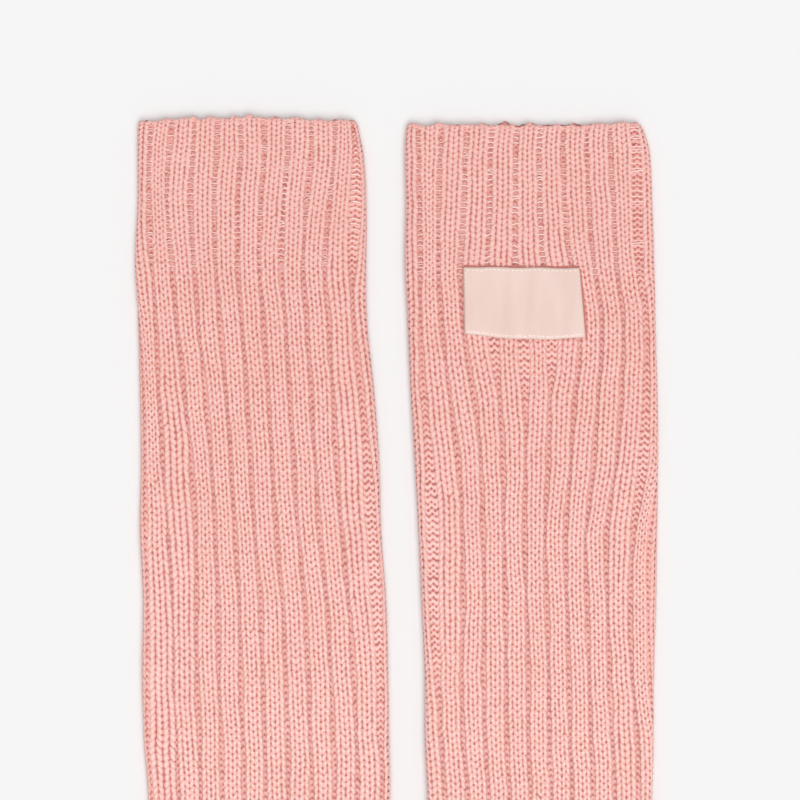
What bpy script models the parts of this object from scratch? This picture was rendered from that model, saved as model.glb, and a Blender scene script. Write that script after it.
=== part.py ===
"""A pair of knitted leg warmers, laid flat side by side: two ribbed tubes and a label sewn to one of them.

X runs across the pair, Y along it towards the top bands and Z up from the surface that it lies on. The origin
is on that surface, under the middle of the pair. Lengths below are in millimetres.
"""
import math
from collections import namedtuple

import bmesh
import bpy

MM = 0.001

# The pair
TUBE_LENGTH = 540.0
RIGHT_TUBE_DROP = 4.0       # the right tube lies this much lower than the left one
OVERALL_LENGTH = TUBE_LENGTH + RIGHT_TUBE_DROP

# The cloth of a tube, which lies flat: front on back, with a fold at each side
HEIGHT = 7.0                # from the surface to the crests of the ribs
WALL = 3.2                  # from the plain inside to a crest
RIB_DEPTH = 1.4             # from a crest down to the purl gap beside it
FOLD = 5.0                  # how far in from a side edge the cloth is rounded
RIM_ROUND = 1.2             # how far the top and bottom rims are rounded over
SCALLOP = 1.0               # how far the rim dips at each gap
LONGEST_STEP = 20.0         # between two sections of the solid
FOLD_QUARTER = math.pi / 4 * (FOLD + HEIGHT / 2)    # length of cloth in a quarter of a fold

# The ribs: each is two knit wales wide, and a gap of purl wales lies between two ribs
RIBS = 21                   # round a tube
LAST_FRONT_GAP = 11         # gaps 0 to 11 show on the front or at the folds
GAP_WIDTH = 2.8
SHOULDER = 1.3              # from the foot of a rib to its crest
SHOULDER_DEPTH = 0.25       # share of the rib's depth at its shoulder

# Each row is a section across a tube. It says how far down the pair it is, where the tube's side edges are, and
# where some of its gaps run. A gap past an edge has gone round the fold, by the cloth's length past that edge.
Section = namedtuple("Section", "down left gap_0 gap_1 gap_2 gap_5 gap_9 gap_10 gap_11 right")
KNOWN_GAPS = (0, 1, 2, 5, 9, 10, 11)

LEFT_TUBE = (
    Section(0.0, -129.5, -133.5, -122.5, -112.0, -78.0, -30.5, -22.5, -12.0, -20.5),
    Section(8.0, -130.0, -134.0, -123.0, -113.0, -78.0, -30.5, -21.0, -11.0, -18.5),
    Section(20.0, -130.0, -134.5, -123.5, -114.0, -78.0, -31.0, -20.0, -10.0, -17.0),
    Section(45.0, -130.0, -135.0, -124.0, -115.0, -79.5, -33.5, -20.5, -10.0, -15.5),
    Section(75.0, -131.5, -133.5, -122.5, -112.5, -79.5, -36.0, -22.0, -10.5, -15.0),
    Section(105.0, -130.0, -129.5, -120.5, -110.0, -77.5, -34.0, -21.5, -10.0, -14.5),
    Section(140.0, -129.0, -127.0, -119.0, -106.0, -75.0, -32.0, -17.5, -5.5, -11.0),
    Section(175.0, -128.5, -126.5, -117.0, -102.5, -73.0, -30.0, -14.5, -2.5, -8.5),
    Section(210.0, -129.0, -126.0, -114.5, -100.5, -71.0, -27.5, -12.0, 0.0, -7.5),
    Section(245.0, -127.5, -125.0, -112.0, -100.0, -68.0, -24.0, -9.5, 2.0, -5.0),
    Section(280.0, -128.0, -125.0, -111.5, -100.0, -67.0, -21.5, -8.0, 3.0, -4.0),
    Section(315.0, -127.0, -125.0, -110.0, -98.5, -66.0, -20.0, -7.5, 3.0, -3.5),
    Section(340.0, -125.0, -123.0, -109.0, -98.0, -65.5, -19.5, -7.0, 3.0, -3.0),
    Section(440.0, -122.0, -122.5, -108.5, -98.0, -66.0, -21.5, -10.5, 0.0, -6.0),
    Section(540.0, -120.0, -121.5, -109.0, -98.5, -67.0, -24.0, -13.5, -3.0, -9.0),
)
RIGHT_TUBE = (
    Section(4.0, 5.0, 0.5, 11.5, 23.0, 60.5, 107.5, 118.5, 128.0, 120.5),
    Section(10.0, 4.5, 0.0, 11.0, 22.5, 60.0, 107.0, 119.0, 129.5, 123.5),
    Section(20.0, 4.0, 0.0, 11.0, 22.0, 59.5, 107.0, 120.0, 131.0, 126.5),
    Section(45.0, 4.5, 0.5, 11.5, 21.0, 59.5, 108.5, 120.5, 132.0, 128.5),
    Section(75.0, 4.0, 0.5, 12.0, 21.0, 59.5, 110.0, 121.5, 133.0, 129.5),
    Section(105.0, 5.5, 1.0, 12.0, 22.5, 63.0, 113.5, 125.0, 135.0, 130.0),
    Section(140.0, 7.0, 2.0, 13.5, 26.5, 64.5, 112.5, 125.0, 135.0, 131.0),
    Section(175.0, 9.0, 4.0, 16.5, 31.0, 64.5, 110.0, 123.5, 132.5, 131.5),
    Section(210.0, 11.0, 6.0, 18.0, 33.0, 64.0, 105.0, 118.5, 127.0, 131.0),
    Section(245.0, 12.5, 7.0, 18.5, 33.5, 65.0, 105.5, 117.0, 126.0, 130.5),
    Section(280.0, 14.0, 9.5, 20.5, 32.5, 66.0, 106.5, 118.0, 127.0, 129.5),
    Section(315.0, 14.0, 11.5, 22.5, 33.5, 66.0, 108.0, 120.5, 130.0, 129.5),
    Section(340.0, 15.0, 13.5, 24.0, 35.5, 67.0, 109.0, 121.0, 130.5, 128.5),
    Section(440.0, 17.0, 15.0, 25.5, 36.5, 66.5, 107.0, 118.5, 129.0, 127.0),
    Section(544.0, 17.5, 15.5, 26.0, 37.0, 65.5, 104.0, 115.5, 126.0, 124.0),
)

# Gaps that lie wider open along a stretch: which gap, the middle and the half length of the stretch, and how
# much wider the gap is there
Opening = namedtuple("Opening", "gap middle reach extra")
LEFT_OPENINGS = (
    Opening(10, 50.0, 60.0, 2.2),
    Opening(10, 230.0, 120.0, 4.0),
)
RIGHT_OPENINGS = (
    Opening(1, 205.0, 90.0, 3.8),
    Opening(4, 118.0, 30.0, 3.2),
    Opening(5, 120.0, 34.0, 3.6),
    Opening(6, 120.0, 30.0, 3.2),
    Opening(10, 210.0, 50.0, 2.2),
)

# The label's stitches spread the ribs beside and under it: how far each gap of the right tube moves across, and
# the middle and the half length of the stretch where it does
LABEL_PULL = {3: -3.0, 4: -2.0, 6: 2.0, 7: 4.0, 8: 2.0}
LABEL_PULL_MIDDLE = 100.0
LABEL_PULL_REACH = 60.0

# The label, sewn flat on the right tube's front
Corner = namedtuple("Corner", "x down")
LABEL_TOP_LEFT = Corner(33.5, 77.0)
LABEL_TOP_RIGHT = Corner(91.5, 77.5)
LABEL_BOTTOM_LEFT = Corner(34.0, 110.5)
LABEL_BOTTOM_RIGHT = Corner(94.5, 112.0)
LABEL_BOW = 1.5             # how far the bottom edge sags between its corners
LABEL_THICKNESS = 1.0
LABEL_CLEARANCE = 0.3       # from the crests under it
LABEL_CELLS = (12, 6)

KNIT_COLOR = (0.89, 0.47, 0.42, 1.0)
LABEL_COLOR = (0.84, 0.67, 0.61, 1.0)
KNIT_ROUGHNESS = 0.95
LABEL_ROUGHNESS = 0.45


def bump(offset, reach):
    """A smooth rise from 0 to 1 and back, over one reach on each side of the middle."""
    if abs(offset) >= reach:
        return 0.0
    return 0.5 + 0.5 * math.cos(math.pi * offset / reach)


def section_at(table, down):
    """The section at any distance down, on a smooth curve through the table's rows."""
    row = next(i for i in range(1, len(table)) if down <= table[i].down)
    upper, lower = table[row - 1], table[row]
    before, after = table[max(row - 2, 0)], table[min(row + 1, len(table) - 1)]
    span = lower.down - upper.down
    share = (down - upper.down) / span
    values = []
    for a, b, c, d in zip(before[1:], upper[1:], lower[1:], after[1:]):
        leaving = (c - a) / (lower.down - before.down) * span
        arriving = (d - b) / (after.down - upper.down) * span
        values.append(
            b
            + share * leaving
            + share ** 2 * (3 * (c - b) - 2 * leaving - arriving)
            + share ** 3 * (2 * (b - c) + leaving + arriving)
        )
    return Section(down, *values)


def stations(table):
    """How far down each section of the solid is: at each row, between rows, and twice at each rounded rim."""
    downs = [table[0].down, table[0].down + RIM_ROUND]
    for upper, lower in zip(table, table[1:]):
        steps = math.ceil((lower.down - upper.down) / LONGEST_STEP)
        downs += [upper.down + (lower.down - upper.down) * step / steps for step in range(1, steps + 1)]
    return downs[:-1] + [table[-1].down - RIM_ROUND, table[-1].down]


def along(section, x):
    """How far round the cloth x is, from the left fold's outermost line over the front."""
    from_left = x - section.left
    from_right = section.right - x
    front = section.right - section.left - 2 * FOLD + 2 * FOLD_QUARTER
    if from_left < 0:
        return from_left
    if from_right < 0:
        return front - from_right
    if from_left < FOLD:
        return FOLD_QUARTER * math.acos(1 - from_left / FOLD) / (math.pi / 2)
    if from_right < FOLD:
        return front - FOLD_QUARTER * math.acos(1 - from_right / FOLD) / (math.pi / 2)
    return FOLD_QUARTER + from_left - FOLD


def place(section, distance, inset):
    """The x and z of the point that lies this far round the cloth, and this far in from its crests."""
    front = section.right - section.left - 2 * FOLD + 2 * FOLD_QUARTER
    distance %= 2 * front
    under = distance > front
    run = 2 * front - distance if under else distance
    turn = min(run, front - run, FOLD_QUARTER) / FOLD_QUARTER * math.pi / 2
    if run < FOLD_QUARTER:
        x = section.left + FOLD - (FOLD - inset) * math.cos(turn)
    elif front - run < FOLD_QUARTER:
        x = section.right - FOLD + (FOLD - inset) * math.cos(turn)
    else:
        x = section.left + FOLD + run - FOLD_QUARTER
    rise = (HEIGHT / 2 - inset) * math.sin(turn)
    return x, HEIGHT / 2 + (-rise if under else rise)


def gap_places(section, pull):
    """How far round the cloth gaps 0 to 11 lie in a section, with the pull of the label on each."""
    known = [getattr(section, f"gap_{gap}") for gap in KNOWN_GAPS]
    places = []
    for gap in range(LAST_FRONT_GAP + 1):
        after = next(i for i, known_gap in enumerate(KNOWN_GAPS) if known_gap >= max(gap, 1))
        share = (gap - KNOWN_GAPS[after - 1]) / (KNOWN_GAPS[after] - KNOWN_GAPS[after - 1])
        x = known[after - 1] + share * (known[after] - known[after - 1])
        x += pull.get(gap, 0.0) * bump(section.down - LABEL_PULL_MIDDLE, LABEL_PULL_REACH)
        places.append(along(section, x))
    return places


def ring_points(section, openings, pull):
    """The points round a section, each as its distance round the cloth and its share of the ribs' depth.

    A front rib has a foot and a shoulder on each side and a crest. Under the tube, which lies flat, there is one
    point a rib.
    """
    places = gap_places(section, pull)
    around = 2 * (section.right - section.left - 2 * FOLD + 2 * FOLD_QUARTER)
    points = []
    for gap, middle in enumerate(places):
        extra = sum(o.extra * bump(section.down - o.middle, o.reach) for o in openings if o.gap == gap)
        foot = (GAP_WIDTH + extra) / 2
        points += [
            (middle - foot - SHOULDER, SHOULDER_DEPTH),
            (middle - foot, 1.0),
            (middle + foot, 1.0),
            (middle + foot + SHOULDER, SHOULDER_DEPTH),
        ]
        if gap < LAST_FRONT_GAP:
            points.append(((middle + places[gap + 1]) / 2, 0.0))
    under_ribs = RIBS - LAST_FRONT_GAP
    under_pitch = (places[0] + around - places[-1]) / under_ribs
    points += [(places[-1] + (rib + 0.5) * under_pitch, 0.0) for rib in range(under_ribs)]
    return points


def make_tube(name, table, openings, pull, collection, material):
    """A closed wall round the flat tube: a ribbed outside, a plain inside and a rim at each end."""
    top, bottom = table[0].down, table[-1].down
    mesh = bmesh.new()
    outside, inside = [], []
    for down in stations(table):
        section = section_at(table, down)
        at_top, at_bottom = down == top, down == bottom
        rounding = RIM_ROUND / 2 if at_top or at_bottom else 0.0
        outer_ring, inner_ring = [], []
        for distance, depth in ring_points(section, openings, pull):
            dip = SCALLOP * depth * (at_top - at_bottom)
            y = OVERALL_LENGTH / 2 - down - dip
            x, z = place(section, distance, rounding + RIB_DEPTH * depth)
            outer_ring.append(mesh.verts.new((x * MM, y * MM, z * MM)))
            x, z = place(section, distance, WALL)
            inner_ring.append(mesh.verts.new((x * MM, y * MM, z * MM)))
        outside.append(outer_ring)
        inside.append(inner_ring)
    loops = outside + inside[::-1]
    for ring, following in zip(loops, loops[1:] + loops[:1]):
        for i in range(len(ring)):
            j = (i + 1) % len(ring)
            mesh.faces.new((ring[i], ring[j], following[j], following[i]))
    return finish_mesh(name, mesh, collection, material)


def finish_mesh(name, mesh, collection, material):
    """Put a finished bmesh in an object of its own, with its faces pointing out."""
    bmesh.ops.recalc_face_normals(mesh, faces=mesh.faces)
    data = bpy.data.meshes.new(name)
    mesh.to_mesh(data)
    mesh.free()
    data.materials.append(material)
    data.shade_smooth()
    data.set_sharp_from_angle(angle=math.radians(50))
    thing = bpy.data.objects.new(name, data)
    collection.objects.link(thing)
    return thing


def make_label(name, table, collection, material):
    """The label: a sheet made from the panel's crests, moved out, and thickened upwards."""
    mesh = bmesh.new()
    bmesh.ops.create_grid(mesh, x_segments=LABEL_CELLS[0], y_segments=LABEL_CELLS[1], size=0.5)
    for vert in mesh.verts:
        across, low = vert.co.x + 0.5, 0.5 - vert.co.y
        x, down = (
            (1 - low) * ((1 - across) * top_left + across * top_right)
            + low * ((1 - across) * bottom_left + across * bottom_right)
            for top_left, top_right, bottom_left, bottom_right
            in zip(LABEL_TOP_LEFT, LABEL_TOP_RIGHT, LABEL_BOTTOM_LEFT, LABEL_BOTTOM_RIGHT)
        )
        down += LABEL_BOW * low * 4 * across * (1 - across)
        section = section_at(table, down)
        x, z = place(section, along(section, x), -LABEL_CLEARANCE)
        vert.co = (x * MM, (OVERALL_LENGTH / 2 - down) * MM, z * MM)
    thing = finish_mesh(name, mesh, collection, material)
    solidify = thing.modifiers.new("thickness", "SOLIDIFY")
    solidify.thickness = LABEL_THICKNESS * MM
    solidify.offset = 1.0
    return thing


def make_material(name, color, roughness):
    """A plain cloth material."""
    material = bpy.data.materials.new(name)
    material.use_nodes = True
    shader = material.node_tree.nodes["Principled BSDF"]
    shader.inputs["Base Color"].default_value = color
    shader.inputs["Roughness"].default_value = roughness
    shader.inputs["Metallic"].default_value = 0.0
    return material


def main():
    for thing in list(bpy.data.objects):
        bpy.data.objects.remove(thing, do_unlink=True)
    collection = bpy.data.collections.new("leg_warmers")
    bpy.context.scene.collection.children.link(collection)
    knit = make_material("rib_knit", KNIT_COLOR, KNIT_ROUGHNESS)
    satin = make_material("label_satin", LABEL_COLOR, LABEL_ROUGHNESS)
    make_tube("left_tube", LEFT_TUBE, LEFT_OPENINGS, {}, collection, knit)
    make_tube("right_tube", RIGHT_TUBE, RIGHT_OPENINGS, LABEL_PULL, collection, knit)
    make_label("label", RIGHT_TUBE, collection, satin)


main()
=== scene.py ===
"""The looks of the knitted leg warmers: yarn, purl gaps, elastic threads, edges, the label, light and camera.

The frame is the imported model. Lengths are in millimetres, as in the part's own source, until a mesh is made.
"""
import math

import bpy
import numpy as np
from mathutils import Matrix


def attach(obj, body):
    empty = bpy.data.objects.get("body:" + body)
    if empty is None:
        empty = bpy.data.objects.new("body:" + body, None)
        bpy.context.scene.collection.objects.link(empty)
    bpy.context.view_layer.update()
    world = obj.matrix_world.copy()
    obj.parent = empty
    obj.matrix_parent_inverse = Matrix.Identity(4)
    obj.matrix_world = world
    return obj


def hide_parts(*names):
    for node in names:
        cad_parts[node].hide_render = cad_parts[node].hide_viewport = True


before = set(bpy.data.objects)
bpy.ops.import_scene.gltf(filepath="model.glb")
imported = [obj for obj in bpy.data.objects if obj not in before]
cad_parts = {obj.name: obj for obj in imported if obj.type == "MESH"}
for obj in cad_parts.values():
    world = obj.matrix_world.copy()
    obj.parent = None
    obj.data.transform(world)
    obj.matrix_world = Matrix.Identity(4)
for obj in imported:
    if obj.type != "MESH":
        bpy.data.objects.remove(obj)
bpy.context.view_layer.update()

MM = 0.001
TINY = 1e-9
LAST_STEP = 1.001  # just before the last of a row of places

# The pair and its cloth, as in the solids
TUBE_LENGTH = 540.0
RIGHT_TUBE_DROP = 4.0
OVERALL_LENGTH = TUBE_LENGTH + RIGHT_TUBE_DROP
HEIGHT = 7.0
WALL = 3.2
FOLD = 5.0
FOLD_QUARTER = math.pi / 4 * (FOLD + HEIGHT / 2)
RIBS = 21
LAST_FRONT_GAP = 11
GAP_WIDTH = 2.8

# Sections across each tube, in the solids' own columns: down, left, gap 0, 1, 2, 5, 9, 10, 11, right
KNOWN_GAPS = (0, 1, 2, 5, 9, 10, 11)
LEFT_TUBE = (
    (0, -129.5, -133.5, -122.5, -112, -78, -30.5, -22.5, -12, -19.8),
    (8, -130, -134, -123, -113, -78, -30.5, -21, -11, -18.6),
    (20, -130, -134.5, -123.5, -114, -78, -31, -20, -10, -16.4),
    (45, -130, -135, -124, -115, -79.5, -33.5, -20.5, -10, -14.9),
    (75, -131.5, -133.5, -122.5, -112.5, -79.5, -36, -22, -10.5, -15),
    (105, -130, -129.5, -120.5, -110, -77.5, -34, -21.5, -10, -14.5),
    (140, -129, -127, -119, -106, -75, -32, -17.5, -5.5, -11),
    (175, -128.5, -126.5, -117, -102.5, -73, -30, -14.5, -2.5, -8.5),
    (210, -129, -126, -114.5, -100.5, -71, -27.5, -12, 0, -7.5),
    (245, -127.5, -125, -112, -100, -68, -24, -9.5, 2, -5),
    (280, -128, -125, -111.5, -100, -67, -21.5, -8, 3, -4),
    (315, -127, -125, -110, -98.5, -66, -20, -7.5, 3, -3.5),
    (340, -125, -123, -109, -98, -65.5, -19.5, -7, 3, -3),
    (440, -122, -122.5, -108.5, -98, -66, -21.5, -10.5, 0, -6),
    (540, -120, -121.5, -109, -98.5, -67, -24, -13.5, -3, -9),
)
RIGHT_TUBE = (
    (4, 5, 0.5, 11.5, 23, 60.5, 107.5, 118.5, 128, 122.5),
    (10, 4.5, 0, 11, 22.5, 60, 107, 119, 129.5, 124.7),
    (20, 4, 0, 11, 22, 59.5, 107, 120, 131, 127.3),
    (45, 4.5, 0.5, 11.5, 21, 59.5, 108.5, 120.5, 132, 128.5),
    (75, 4, 0.5, 12, 21, 59.5, 110, 121.5, 133, 129.5),
    (105, 5.5, 1, 12, 22.5, 63, 113.5, 125, 135, 130),
    (140, 7, 2, 13.5, 26.5, 64.5, 112.5, 125, 135, 131),
    (175, 9, 4, 16.5, 31, 64.5, 110, 123.5, 132.5, 131.5),
    (210, 11, 6, 18, 33, 64, 105, 118.5, 127, 131),
    (245, 12.5, 7, 18.5, 33.5, 65, 105.5, 117, 126, 130.5),
    (280, 14, 9.5, 20.5, 32.5, 66, 106.5, 118, 127, 129.5),
    (315, 14, 11.5, 22.5, 33.5, 66, 108, 120.5, 130, 129.5),
    (340, 15, 13.5, 24, 35.5, 67, 109, 121, 130.5, 128.5),
    (440, 17, 15, 25.5, 36.5, 66.5, 107, 118.5, 129, 127),
    (544, 17.5, 15.5, 26, 37, 65.5, 104, 115.5, 126, 124),
)

# Gaps that lie wider open along a stretch: gap, middle and half length of the stretch, extra width
LEFT_OPENINGS = (
    (10, 50, 46, 4.8),
    (10, 230, 120, 4),
    (1, 270, 150, -1.5),
)
RIGHT_OPENINGS = (
    (1, 205, 90, 3.8),
    (1, 262, 55, 1.5),
    (4, 118, 30, 3.2),
    (5, 120, 34, 3.6),
    (6, 120, 30, 3.2),
    (10, 45, 75, 3.2),
    (10, 165, 85, 2.6),
)

# The label's stitches spread the ribs beside and under it
LABEL_PULL = {3: -3, 4: -2, 6: 2, 7: 4, 8: 2}
LABEL_PULL_MIDDLE = 100.0
LABEL_PULL_REACH = 60.0

# How much lower than straight the top edge lies: x, the front layer, the layer under it
LEFT_TOP_EDGE = (
    (-134, 2.6, 3), (-127, 3, 3.4), (-118, 3.2, 3.6), (-112, 1.8, 2.4), (-94, 1.8, 2.2),
    (-79, 1.5, 2), (-73, 0.5, 1.2), (-70, 0.8, 1.4), (-64, 2, 2.4), (-58, 1.5, 2.2),
    (-48, 2, 2.6), (-38, 2.8, 3.2), (-23, 3, 3.4), (-14, 2.4, 3),
)
RIGHT_TOP_EDGE = (
    (2, 0.8, 1.2), (7, 0.6, 1), (13, 1.2, 1.6), (28, 1.2, 1.5), (34, 1, 1), (43, 1.2, 0.5),
    (52, 1.8, 0.3), (66, 1.6, 0.5), (82, 1.9, 0.4), (100, 1.3, 0.5), (106, 0.2, 0.5),
    (122, 0, 0.5), (130, 0.4, 0.8),
)
LUMP_HEIGHT = 0.60  # how uneven both rims are
RIM_REACH = 4.0
RIM_THINNING = 0.6
EDGE_REACH = 30.0  # how far down the cloth is still pulled by its edge

# Rows of stitches
BAND_LENGTH = 73.0  # the top band, with elastic and tighter rows
BAND_ROW = 2.75
BAND_FADE = 12.0  # over which the rows widen at its end
BAND_TINT = -7.0  # its yarn's tint; the leg's varies about 0
LEG_ROW = 3.25
FIRST_ROW, LAST_ROW = 0.35, 0.40  # how far they lie from the rims, in rows

# Slow waves that make the knitting uneven: number, ribs, how much further on at the next wale, length down
ROW_WAVE = 0, 2.3, 0.0, 240.0
LINE_WAVE = 1, 1.0, 0.5, 110.0
LEAN_WAVE = 2, 3.1, 0.0, 40.0
TWIST_WAVE = 3, 2.7, 0.4, 45.0
SHIFT_WAVE = 4, 1.9, 0.0, 50.0
HOLE_WAVE = 5, 1.7, 0.3, 30.0
ARC_WAVE = 6, 3.0, 0.0, 90.0
LUMP_WAVE = 7, 15.0, 0.0, 21.0  # this one runs over x and height
GAP_WAVE = 9, 2.1, 0.0, 75.0
OCTAVES = (1.0, 1.7, 2.9)
OCTAVE_SPREAD = (0.7, 1.3)
OCTAVE_SUM = 1.9  # about what the octaves' strengths add up to

# A knit stitch's two legs, which lean together at the top
LEG_RADIUS = 1.28
LEG_THINNING = 0.55  # the share of it that even the narrowest rib leaves
FULL_RIB = 4.1  # half the width of a rib whose legs have all of it
LEG_HEIGHT = 0.58
LEG_RISE = 0.70  # from the row's line up to the leg's top end, in rows
LEG_FALL = 0.70  # and down to its lower end
LEG_MIDDLE = 0.51  # from the wale's middle, in half wales
LEG_LEAN = 0.29  # and how much nearer its top end is, and farther its lower end
LEG_POINTS, UNDER_LEG_POINTS = 5, 4  # across a leg
# Along a leg: share of its length, of its radius, and how deep its back lies
LEG_SHAPE = ((0, 0, 0.50), (0.14, 0.66, 0.16), (0.50, 1, 0), (0.86, 0.66, 0.18), (1, 0, 0.55))
UNDER_LEG_SHAPE = ((0, 0, 0.80), (0.32, 0.95, 0.05), (0.72, 0.92, 0.10), (1, 0, 0.95))
# The places of a leg's points round its arc, by how many there are
ARC_ANGLES = {4: np.radians((0, 60, 120, 180)), 5: np.radians((0, 60, 90, 120, 180))}
RIB_ROUNDING = 0.65  # how much lower a rib's outer legs lie than its middle
RIB_SPREAD = 0.30  # how far the yarn of a rib bulges past the rib's own edge
EDGE_MARGIN = 0.4  # how far yarn stays inside the rims
INSIDE_MARGIN = 0.2  # and above the cloth's inner side

# How uneven the legs are, slowly and from stitch to stitch
ROW_SLIP = 1.1
LINE_WANDER, LINE_JITTER = 0.10, 0.04  # in rows
LEAN_WANDER = 0.20
TWIST_WANDER = 0.06
SHIFT_WANDER = 0.08
PLACE_JITTER = 0.14
RADIUS_JITTER = 0.07
TOP_JITTER = 0.03

# How lit a bit of yarn is painted, as a painted highlight and painted shade: its crest is 1
CREST_SHARPNESS = 3.5  # how quickly that falls off beside the crest
SEAM = 0.16  # its sides, where bits of yarn touch
TIP_LIT = 0.30

# The shell behind the yarn
SHELL_CREST = 1.15
SHELL_VALLEY = 2.35
SHELL_PLACES = (-1.0, -0.8, -0.4, 0.0, 0.4, 0.8, 1.0)  # its points across a rib
SHELL_SLOPE = 0.2  # the outer share of a rib's half width, which rises
SHELL_SECTIONS = 70
SHELL_MARGIN = 0.8

# Purl bumps in the gaps: how deep their tops lie below the ribs' crests in a narrow and a wide gap
PURL_DEEP, PURL_HIGH = 1.20, 0.60
PURL_DROP = 0.50  # how much lower their sides are
PURL_SAG = 0.40  # and their ends
PURL_RADIUS = 1.66
PURL_TUCK = 0.45  # how far they reach under the ribs
# How lit the arcs' crests are painted in a narrow and a wide gap; the narrow gaps' arcs get more painted shade
PURL_LIGHT, PURL_LIGHT_WIDE = 0.48, 1.0
PURL_BASE = 0.08  # how lit their sides are painted, as painted shade
BAND_SHADE = 0.25  # how much less pale they are in the band
PURL_PHASE, PURL_PHASE_WIDE = 1.4, 0.9  # how far a slow wave moves the arcs' peaks
PURL_ARCH, PURL_ARCH_WIDE = 0.17, 0.20  # how high the arcs are, in rows
PURL_WAVES = 0.9  # how much more than one wave a wide gap's arc has
PURL_OPEN = 0.25  # from here on, a gap's arcs are drawn as wide
PURL_STATIONS, UNDER_STATIONS = 8, 5  # points along a narrow gap's arc
WIDE_GAP = 3.0  # half the width of a fully open gap
GAP_UNEVENNESS = 0.34
ARCH_SPREAD = (0.85, 1.15)
PURL_JITTER, TILT_JITTER, THICKNESS_JITTER, DEPTH_JITTER, PHASE_JITTER = 0.05, 0.06, 0.05, 0.08, 0.2

# Painted shade: the small dark dots that stand for the shadow in the holes beside the stitches
HOLE_DOWN = 0.22  # how far below the row's line, in rows
HOLE_RADIUS = 0.66
PALEST_HOLE = 0.6  # the share of its radius that the palest has
HOLE_CORNERS = 6
HOLE_NARROWING = 0.85  # how wide it is for its height
HOLE_DEPTH = 0.05
HOLE_SINK = 0.20  # how much deeper its middle is
HOLE_MARGIN = 0.5
HOLE_SHADE = -3.0  # the painted shade at its middle, on the yarn's scale of painted light
BAND_HOLES = 0.75  # how dark the band's painted hole shade is; the leg's is 1
WALE_HOLES = 0.78  # and those within a wale, beside those between two
HOLE_RANGE = (0.1, 1.2)  # of darkness
HOLE_LINE_JITTER, HOLE_PLACE_JITTER, DARK_JITTER, DARK_WANDER = 0.06, 0.08, 0.25, 0.3
GAP_HOLE = 1.25  # how dark the painted shade in the gaps' holes is
GAP_HOLE_JITTER = 0.3
GAP_HOLE_RANGE = (0.6, 1.8)
GAP_HOLE_DEPTH = 0.62  # the deepest they lie, to stay in view
PEAK_REACH, SIDE_REACH = 0.8, 0.7  # how near the ribs they lie at most

# The fine elastic threads of the bands
ELASTIC_RADIUS = 0.26
LEFT_PALE_GAPS = {2: 0.35, 7: 0.50}  # how pale it is in the gaps where it shows
RIGHT_PALE_GAPS = {0: 0.40, 3: 0.50, 4: 0.65, 5: 0.85, 6: 0.70, 10: 0.30}
PALE_ELSEWHERE = 0.15
PALE_JITTER = 0.2
PALE_RADIUS = (0.85, 1.20)  # shares of the radius that dull and pale threads have
THREADS_IN_ROW = (0.85, 0.08)  # how often a row has a first and a second thread
THREADS_PAST = 3.0  # how far past the band they go on
THREAD_DOWN, THREAD_STEP, THREAD_JITTER = 0.30, 0.45, 0.05  # in rows
THREAD_ARCH = (0.02, 0.22)
THREADS_BENT_DOWN, BENT_BACK = 0.85, -0.4
THREAD_TILT = 0.09
THREAD_DEPTH, THREAD_SAG = 0.05, 0.20
THREAD_REACH = (0.85, 1.10)
THREAD_DROP, BOLD_DROP = 0.10, 0.12  # how much lower their sides are
THREAD_POINTS, BOLD_POINTS = 7, 10

# Heavier hooked threads in the left tube's gap that is pulled open
BOLD_GAP = 10
BOLD_FROM, BOLD_FADE, BOLD_TO = 8.0, 20.0, 84.0
BOLD_SHARE = 0.94
BOLD_RADIUS = 0.28
BOLD_TUCK = 0.9  # how much narrower than the gap they are
BOLD_START, BOLD_END = (0.22, 0.36), (0.52, 0.74)  # where they turn from and to, in half turns
BOLD_SHORTENING = 0.12  # how much less they turn where they fade
BOLD_LIFT = (0.34, 0.58)  # how high they stand, in rows
BOLD_LIFT_FADE, BOLD_LIGHT_FADE = 0.4, 0.6
BOLD_LEVEL = 0.5
BOLD_SLANT = 0.12
BOLD_JITTER = 0.08
BOLD_DEPTH_SPREAD, BOLD_SAG = 0.15, 0.25

# Loose fibres that stand off the yarn
FUZZ_FIBRES = 5000  # on each tube's front and sides
FUZZ_AT_SIDES = 0.25  # the share of them at its two sides
FUZZ_LENGTH = (0.8, 2.4)
FUZZ_WIDTH = 0.13
FUZZ_ROOT = 0.25  # how deep they start
FUZZ_RISE = 0.45  # how far their ends stand off, at most
FUZZ_RISE_SIDES = 1.3
FUZZ_PALENESS = 0.25

# The slanting stitches along the rims
RIM_STITCHES = 112
RIM_LAYERS = ((0.85, 0.1), (2.3, 0.35), (0.70, 1.5))  # how deep and how far in each row of them lies
RIM_SLANT = 0.75  # half of one's length, in stitches
RIM_START, RIM_END = 1.25, 0.35  # how far inside the rim its ends lie
RIM_RADIUS, RIM_HEIGHT = 1.05, 1.2
RIM_WAVE = 0.50  # how far they swing in and out, once a rib
RIM_PLACE_JITTER, RIM_JITTER = 0.15, 0.3
RIM_LIGHT = 0.75  # how pale they are; the others are 1

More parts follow.
